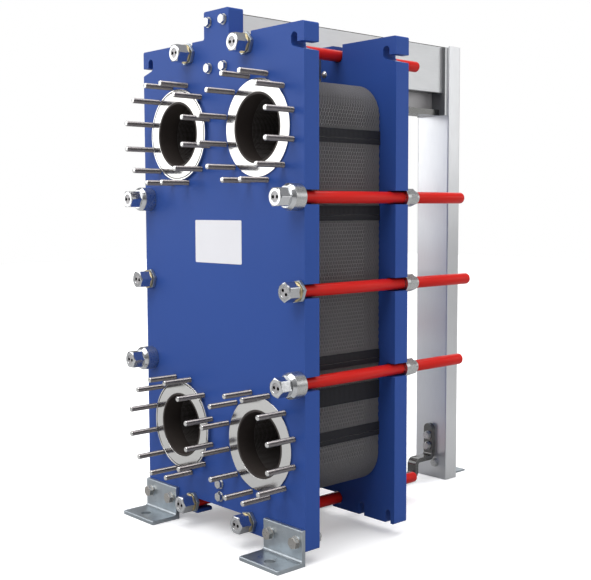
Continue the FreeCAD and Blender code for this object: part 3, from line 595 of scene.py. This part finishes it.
def edge_path(step_in=0.0):
    """Lines and arcs round a sheet, clockwise from the hanger slot, and the arcs' radius.

    A line is given by its ends, and an arc by its centre and the direction in which it starts.
    """
    half, top, foot = PACK_HALF - step_in, PACK_TOP - step_in, PACK_FOOT + step_in
    radius = PACK_CORNER - step_in
    pieces = [
        ("line", (HANGER_GAP, top), (half - radius, top)),
        ("arc", (half - radius, top - radius), 90.0),
        ("line", (half, top - radius), (half, foot + radius)),
        ("arc", (half - radius, foot + radius), 0.0),
        ("line", (half - radius, foot), (GUIDE_GAP, foot)),
        ("line", (-GUIDE_GAP, foot), (-half + radius, foot)),
        ("arc", (-half + radius, foot + radius), -90.0),
        ("line", (-half, foot + radius), (-half, top - radius)),
        ("arc", (-half + radius, top - radius), -180.0),
        ("line", (-half + radius, top), (-HANGER_GAP, top)),
    ]
    return pieces, radius


def walk(distance):
    """The point and outward direction at a distance along the sheet's edge."""
    pieces, radius = edge_path()
    for kind, first, second in pieces:
        if kind == "line":
            length = math.dist(first, second)
        else:
            length = radius * math.pi / 2
        if distance <= length + 1e-9:
            share = distance / length
            if kind == "line":
                along = ((second[0] - first[0]) / length, (second[1] - first[1]) / length)
                return ((first[0] + along[0] * distance, first[1] + along[1] * distance),
                        (-along[1], along[0]))
            angle = math.radians(second - 90.0 * share)
            outward = (math.cos(angle), math.sin(angle))
            return ((first[0] + radius * outward[0], first[1] + radius * outward[1]), outward)
        distance -= length
    return (-HANGER_GAP, PACK_TOP), (0.0, 1.0)


def edge_lengths():
    """Lengths along the edge from the hanger slot to the guide slot, and from there back up."""
    pieces, radius = edge_path()
    lengths = [math.dist(first, second) if kind == "line" else radius * math.pi / 2
               for kind, first, second in pieces]
    half_way = len(lengths) // 2
    return sum(lengths[:half_way]), sum(lengths[half_way:])


def wave_share(x, height):
    """How deep the pressed edge is: none where rubber clips sit, shallow near the corners."""
    if abs(x) > PACK_HALF - 1:
        for top, foot in BANDS:
            if foot - 5 < height < top + 5:
                return 0.0
    for above, below, share in FLAT_ENDS:
        if height > above or height < below:
            return share
    return 1.0


def edge_stations():
    """Places along the two runs of the edge, with the wave's sign and depth."""
    runs = []
    passed = 0.0
    for length in edge_lengths():
        stations = []
        count = int(length / WAVE_LENGTH)
        step = length / count
        for k in range(count):
            for phase, sign in ((0.17, 1), (0.33, -1), (0.67, -1), (0.83, 1)):
                spot, outward = walk(passed + (k + phase) * step)
                stations.append((spot, outward, sign * wave_share(*spot)))
        runs.append(stations)
        passed += length
    return runs


def sheet_edge(bm, depth, flip, share, stations):
    """Half of the pressed rim of one sheet, as a closed strip with a wave along it."""
    section = [(inset, keep, SHEET / 2) for inset, keep in RIM_ROWS]
    section += [(inset, keep, -SHEET / 2) for inset, keep in reversed(RIM_ROWS)]
    previous = None
    for spot, outward, wave in stations:
        ring = []
        for inset, keep, side in section:
            rise = flip * wave * WAVE_HEIGHT * share * keep
            ring.append(bm.verts.new(at(spot[0] - outward[0] * inset, depth + rise + side,
                                        spot[1] - outward[1] * inset)))
        if previous:
            bridge(bm, previous, ring)
        else:
            bm.faces.new(ring)
        previous = ring
    bm.faces.new(previous)


def thicken(bm, loops, thickness):
    """Makes a flat plate of the outline and holes of one side.

    Filling gives its triangles in another order each run, so they are sorted before they are used.
    """
    pattern = bmesh.new()
    copies = [[pattern.verts.new(vert.co) for vert in loop] for loop in loops]
    number = {vert: k for k, vert in enumerate(vert for loop in copies for vert in loop)}
    fill_between(pattern, copies)
    triangles = sorted(sorted(number[vert] for vert in face.verts) for face in pattern.faces)
    pattern.free()
    offset = Vector((0, thickness * MM, 0))
    far_loops = [[bm.verts.new(vert.co + offset) for vert in loop] for loop in loops]
    for side in (loops, far_loops):
        points = [vert for loop in side for vert in loop]
        for triangle in triangles:
            bm.faces.new([points[k] for k in triangle])
    for near, far in zip(loops, far_loops):
        bridge(bm, near, far)


def sheet_panel(bm, depth, blind):
    """The flat field of one sheet with its four port holes and its hanger hooks."""
    pieces, radius = edge_path(PANEL_INSET)
    outline = []
    for kind, first, second in pieces:
        if kind == "line":
            if first[0] == -GUIDE_GAP:
                outline += [(GUIDE_GAP, GUIDE_GAP_TOP), (-GUIDE_GAP, GUIDE_GAP_TOP)]
            outline += [first, second]
            continue
        for k in range(1, 8):
            angle = math.radians(second - 90.0 * k / 8)
            outline.append((first[0] + radius * math.cos(angle), first[1] + radius * math.sin(angle)))
    outline += [(-HANGER_GAP, HANGER_GAP_FOOT), (HANGER_GAP, HANGER_GAP_FOOT)]
    loops = [[bm.verts.new(at(x, depth - SHEET / 2, h)) for x, h in outline]]
    if not blind:
        for port in PORTS:
            centre = middle("port_ring_" + port)
            centre.y = at(0, depth - SHEET / 2, 0).y
            loops.append(circle(bm, centre, PORT_HOLE, 0, 32))
    thicken(bm, loops, SHEET)
    for side in (-1, 1):
        hook = [(side * x, h) for x, h in ((HOOK_INNER, HOOK_FOOT), (HANGER_GAP, HOOK_FOOT),
                                           (HANGER_GAP, PACK_TOP), (HOOK_INNER, PACK_TOP))]
        ends = [[bm.verts.new(at(x, depth + y, h)) for x, h in hook]
                for y in (-SHEET / 2, SHEET / 2)]
        bridge(bm, *ends)
        for end in ends:
            bm.faces.new(end)


def rubber_clips(bm, depth):
    """The gasket's clips that stand out between the sheets' edges."""
    far = CLIP_LENGTH
    for top, foot in BANDS:
        parts = [(top, foot)]
        if top - foot < LONG_CLIP:
            split = foot + (top - foot) * CLIP_SPLIT
            parts = [(top, split + CLIP_SPLIT_GAP), (split, foot)]
        for high, low in parts:
            for side in (-1, 1):
                outer, inner = side * (PACK_HALF + CLIP_PROUD), side * (PACK_HALF - CLIP_INSET)
                shoulder = outer - side * CLIP_BEVEL
                section = [(outer, 0.5), (outer, far - 0.5), (shoulder, far), (inner, far),
                           (inner, 0), (shoulder, 0)]
                ends = []
                for height in (low, high):
                    ends.append([bm.verts.new(at(x, depth + y, height)) for x, y in section])
                bridge(bm, *ends)
                for end in ends:
                    bm.faces.new(end)


def channel_group(group, stations):
    """One group of pressed sheets with the clips of its gaskets."""
    node = "channel_plates_%d" % group
    bm = bmesh.new()
    clips = bmesh.new()
    for k in range(SHEETS_PER_GROUP):
        number = (group - 1) * SHEETS_PER_GROUP + k
        start = PACK_START + number * PITCH
        share = CALM_SHARE if number >= CALM_FROM else 1.0
        for run in stations:
            sheet_edge(bm, start + SHEET / 2, 1 if number % 2 else -1, share, run)
        sheet_panel(bm, start + SHEET / 2, number == GROUPS * SHEETS_PER_GROUP - 1)
        rubber_clips(clips, start + 0.2)
    sheets = piece_from(node + "_look", bm, 30.0)
    settle(sheets, BODY_OF[node], "plate_stainless", node)
    tabs = piece_from("gasket_clips_%d" % group, clips, 30.0)
    settle(tabs, BODY_OF[node], "black_rubber")
    tabs.data.materials[0] = CLIP_RUBBER
    gasket = NODES["gaskets_%d" % group]
    gasket.data.materials.clear()
    gasket.data.materials.append(MATERIALS["black_rubber"])


edge_runs = edge_stations()
for group in range(1, GROUPS + 1):
    channel_group(group, edge_runs)


# ---------------------------------------------------------------- floor, light and camera
def pale_floor():
    """White to the camera with a little glow, and dimmer in reflections."""
    pale = finish("pale_floor", (0.90, 0.90, 0.90), 0.0, 0.8, (1, 1, 1), 60.0, 0.02, mottle=0.004,
                  patch=0.8, specular=0.2)
    tree = pale.node_tree
    bright = tree.nodes["Principled BSDF"]
    bright.inputs["Emission Color"].default_value = (1.0, 1.0, 1.0, 1.0)
    bright.inputs["Emission Strength"].default_value = 0.30
    dim = add_node(tree, "ShaderNodeBsdfDiffuse")
    dim.inputs["Color"].default_value = (0.42, 0.42, 0.42, 1.0)
    show_by_ray(tree, dim.outputs["BSDF"], bright.outputs["BSDF"], "Material Output")
    return pale


def show_by_ray(tree, to_others, to_camera, output):
    """Shows one shader to the camera and another to all other rays."""
    chosen = add_node(tree, "ShaderNodeMixShader")
    tree.links.new(add_node(tree, "ShaderNodeLightPath").outputs["Is Camera Ray"],
                   chosen.inputs["Fac"])
    tree.links.new(to_others, chosen.inputs[1])
    tree.links.new(to_camera, chosen.inputs[2])
    tree.links.new(chosen.outputs["Shader"], tree.nodes[output].inputs["Surface"])


def studio_world():
    """A white backdrop, and for reflections a room that is darkest just above the horizon."""
    world = bpy.data.worlds.new("studio")
    world.use_nodes = True
    studio = world.node_tree
    room = studio.nodes["Background"]
    direction = add_node(studio, "ShaderNodeSeparateXYZ")
    studio.links.new(add_node(studio, "ShaderNodeTexCoord").outputs["Generated"],
                     direction.inputs["Vector"])
    height = spread(studio, direction.outputs["Z"], 0.0, 1.0, -1.0, 1.0)
    shades = add_node(studio, "ShaderNodeValToRGB")
    shades.color_ramp.elements[0].color = (0.30, 0.30, 0.30, 1.0)
    shades.color_ramp.elements[1].color = (0.42, 0.42, 0.43, 1.0)
    band = shades.color_ramp.elements.new(0.55)
    band.color = (0.15, 0.15, 0.155, 1.0)
    studio.links.new(height, shades.inputs["Fac"])
    studio.links.new(shades.outputs["Color"], room.inputs["Color"])
    backdrop = add_node(studio, "ShaderNodeBackground")
    backdrop.inputs["Color"].default_value = (1.0, 1.0, 1.0, 1.0)
    show_by_ray(studio, room.outputs["Background"], backdrop.outputs["Background"], "World Output")
    return world


def soft_light(name, place, target, size, power):
    """A rectangular lamp aimed at a target, out of the camera's sight."""
    data = bpy.data.lights.new(name, "AREA")
    data.shape = "RECTANGLE"
    data.size, data.size_y = size
    data.energy = power
    lamp = bpy.data.objects.new(name, data)
    lamp.location = place
    aim = Vector(target) - Vector(place)
    lamp.rotation_euler = aim.to_track_quat("-Z", "Y").to_euler()
    lamp.visible_camera = False
    bpy.context.scene.collection.objects.link(lamp)


def overhead_sun(power, spread_degrees):
    """A broad, soft sun straight above."""
    data = bpy.data.lights.new("overhead", "SUN")
    data.energy = power
    data.angle = math.radians(spread_degrees)
    lamp = bpy.data.objects.new("overhead", data)
    lamp.location = (0, 0, 4)
    bpy.context.scene.collection.objects.link(lamp)


def add_camera(place, azimuth, elevation, roll, lens):
    """A camera at a place, facing back along an azimuth and elevation; angles are in degrees."""
    azimuth, elevation, roll = (math.radians(angle) for angle in (azimuth, elevation, roll))
    back = Vector((math.sin(azimuth) * math.cos(elevation),
                   -math.cos(azimuth) * math.cos(elevation), math.sin(elevation)))
    right = Vector((math.cos(azimuth), math.sin(azimuth), 0.0))
    up = back.cross(right)
    turned_right = right * math.cos(roll) + up * math.sin(roll)
    turned_up = up * math.cos(roll) - right * math.sin(roll)
    data = bpy.data.cameras.new("camera")
    data.sensor_width = 36.0
    data.lens = lens
    data.clip_end = 60.0
    camera = bpy.data.objects.new("camera", data)
    facing = Matrix((turned_right, turned_up, back)).transposed().to_4x4()
    camera.matrix_world = Matrix.Translation(place) @ facing
    bpy.context.scene.collection.objects.link(camera)
    bpy.context.scene.camera = camera


bm = bmesh.new()
bmesh.ops.create_grid(bm, x_segments=24, y_segments=24, size=14.0)
floor = piece_from("floor", bm)
floor.location.z = -0.0005
floor.data.materials.append(pale_floor())
bpy.context.scene.world = studio_world()
soft_light("key", (0.4, -3.4, 3.6), (0.0, 0.0, 0.9), (2.6, 2.0), 60.0)
soft_light("panel", (-2.7, -3.0, 1.9), (0.0, -0.3, 1.0), (3.2, 2.2), 45.0)
soft_light("side", (3.8, 0.2, 2.4), (0.0, 0.1, 0.8), (2.0, 2.4), 34.0)
soft_light("far_side", (3.0, 3.3, 1.9), (0.0, 0.3, 1.2), (2.6, 1.8), 17.5)
soft_light("rear", (-2.4, 3.2, 2.8), (0.0, 0.2, 0.8), (2.4, 2.4), 30.0)
overhead_sun(2.55, 60)
add_camera((2.3004, -2.2926, 0.9596), 47.73, 4.63, -0.194, 61.26)
bpy.context.scene.view_settings.view_transform = "Standard"
